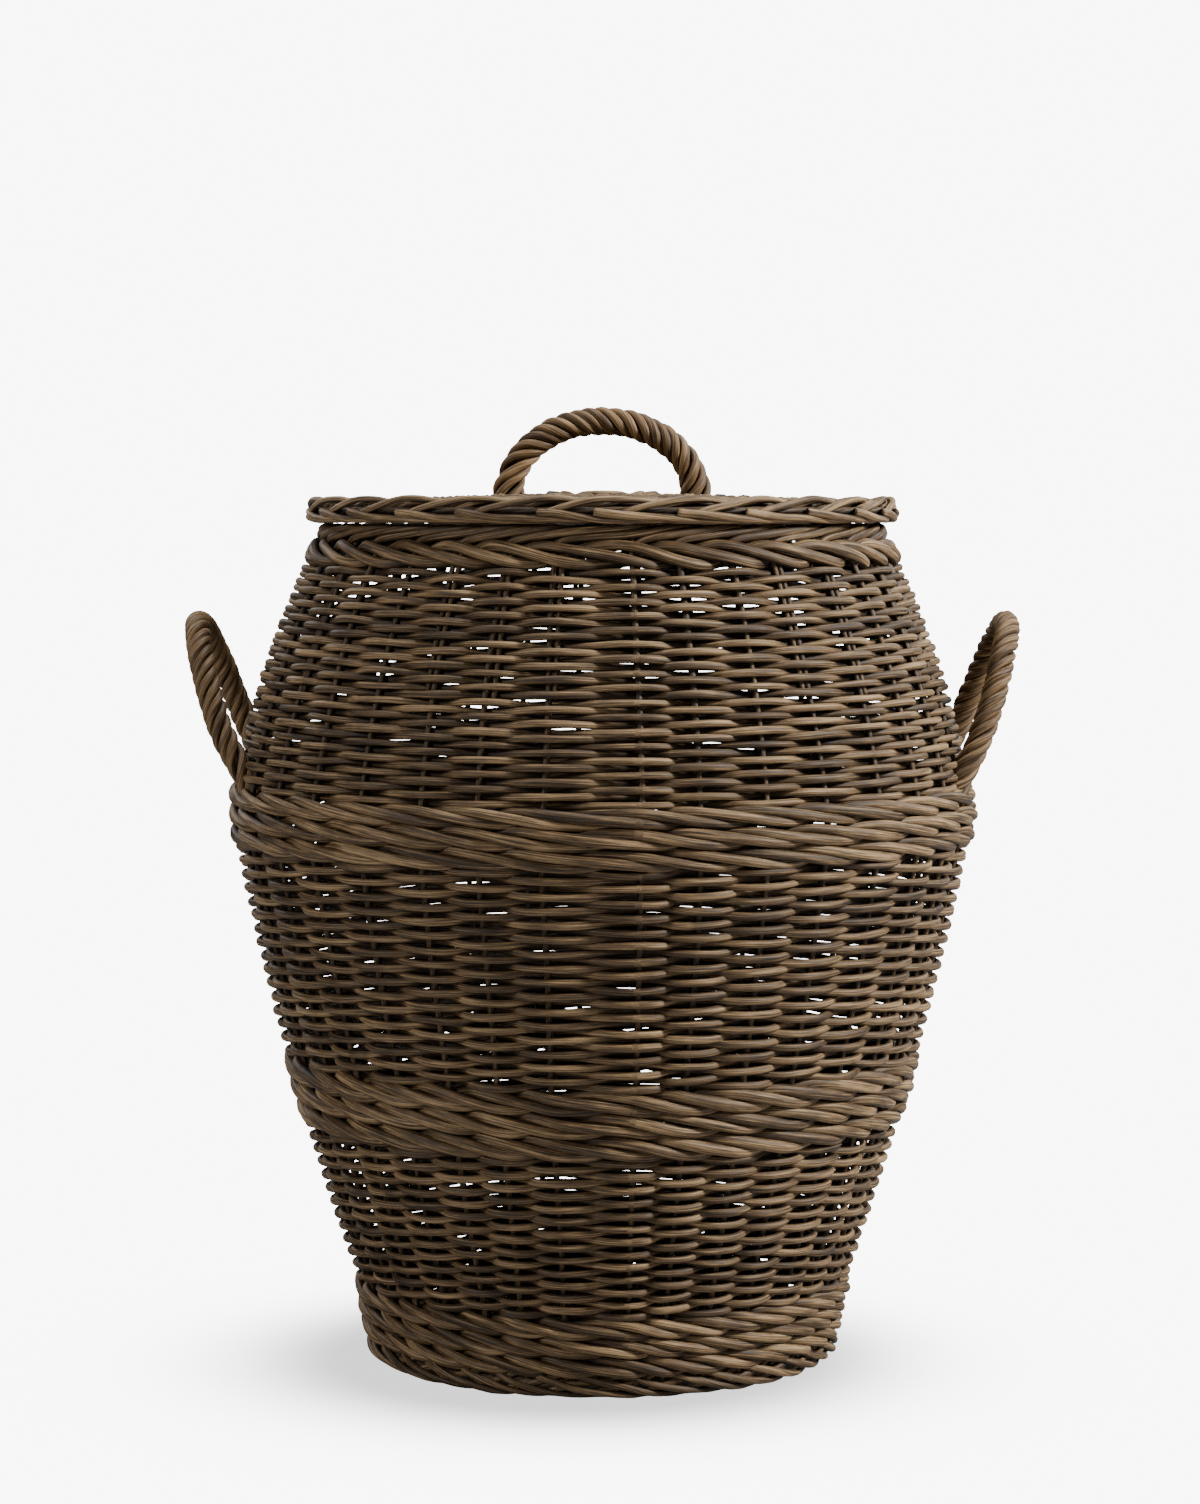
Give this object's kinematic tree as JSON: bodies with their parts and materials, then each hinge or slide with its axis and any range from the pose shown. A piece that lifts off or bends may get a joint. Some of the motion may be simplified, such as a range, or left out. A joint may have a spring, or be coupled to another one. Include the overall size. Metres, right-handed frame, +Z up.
{
  "type": "woven laundry basket",
  "caption": "Round barrel-shaped laundry basket woven from rattan rods, with rope-twisted side handles and a loose flat lid that lifts off by an arched rope handle.",
  "frame": {"origin": "centre of the round footprint, on the floor plane under the foot border", "axes": "+Z up the basket's axis; +X through the right side handle, with the lid handle along X; -Y is the front"},
  "size_m": [0.5604, 0.506, 0.6391],
  "materials": {
    "weaver": "matt grey-brown split rattan weaver",
    "wale": "matt grey-brown rattan rod",
    "stake": "matt dark rattan rod",
    "border": "matt grey-brown rattan rod, bent over",
    "rope": "matt rattan strands laid up as a rope"
  },
  "bodies": {
    "basket": {"foot_border": "border", "foot_wale": "wale", "base_sticks_lower": "stake", "base_sticks_upper": "stake", "base_weave": "weaver", "side_stakes": "stake", "lower_weave": "weaver", "lower_wale": "wale", "middle_weave": "weaver", "waist_wale": "wale", "upper_weave": "weaver", "rim_wale": "wale", "rim_border": "border", "side_handle_left_core": "stake", "side_handle_left_wrap": "rope", "side_handle_right_core": "stake", "side_handle_right_wrap": "rope"},
    "lid": {"lid_sticks_lower": "stake", "lid_sticks_upper": "stake", "lid_weave": "weaver", "lid_wale": "wale", "lid_border": "border", "lid_handle_core": "stake", "lid_handle_wrap": "rope"}
  },
  "joints": [
    {"name": "lid_lift", "type": "slide", "parent": "basket", "child": "lid", "axis": [0, 0, 1], "range_m": [0, 0.2]}
  ]
}
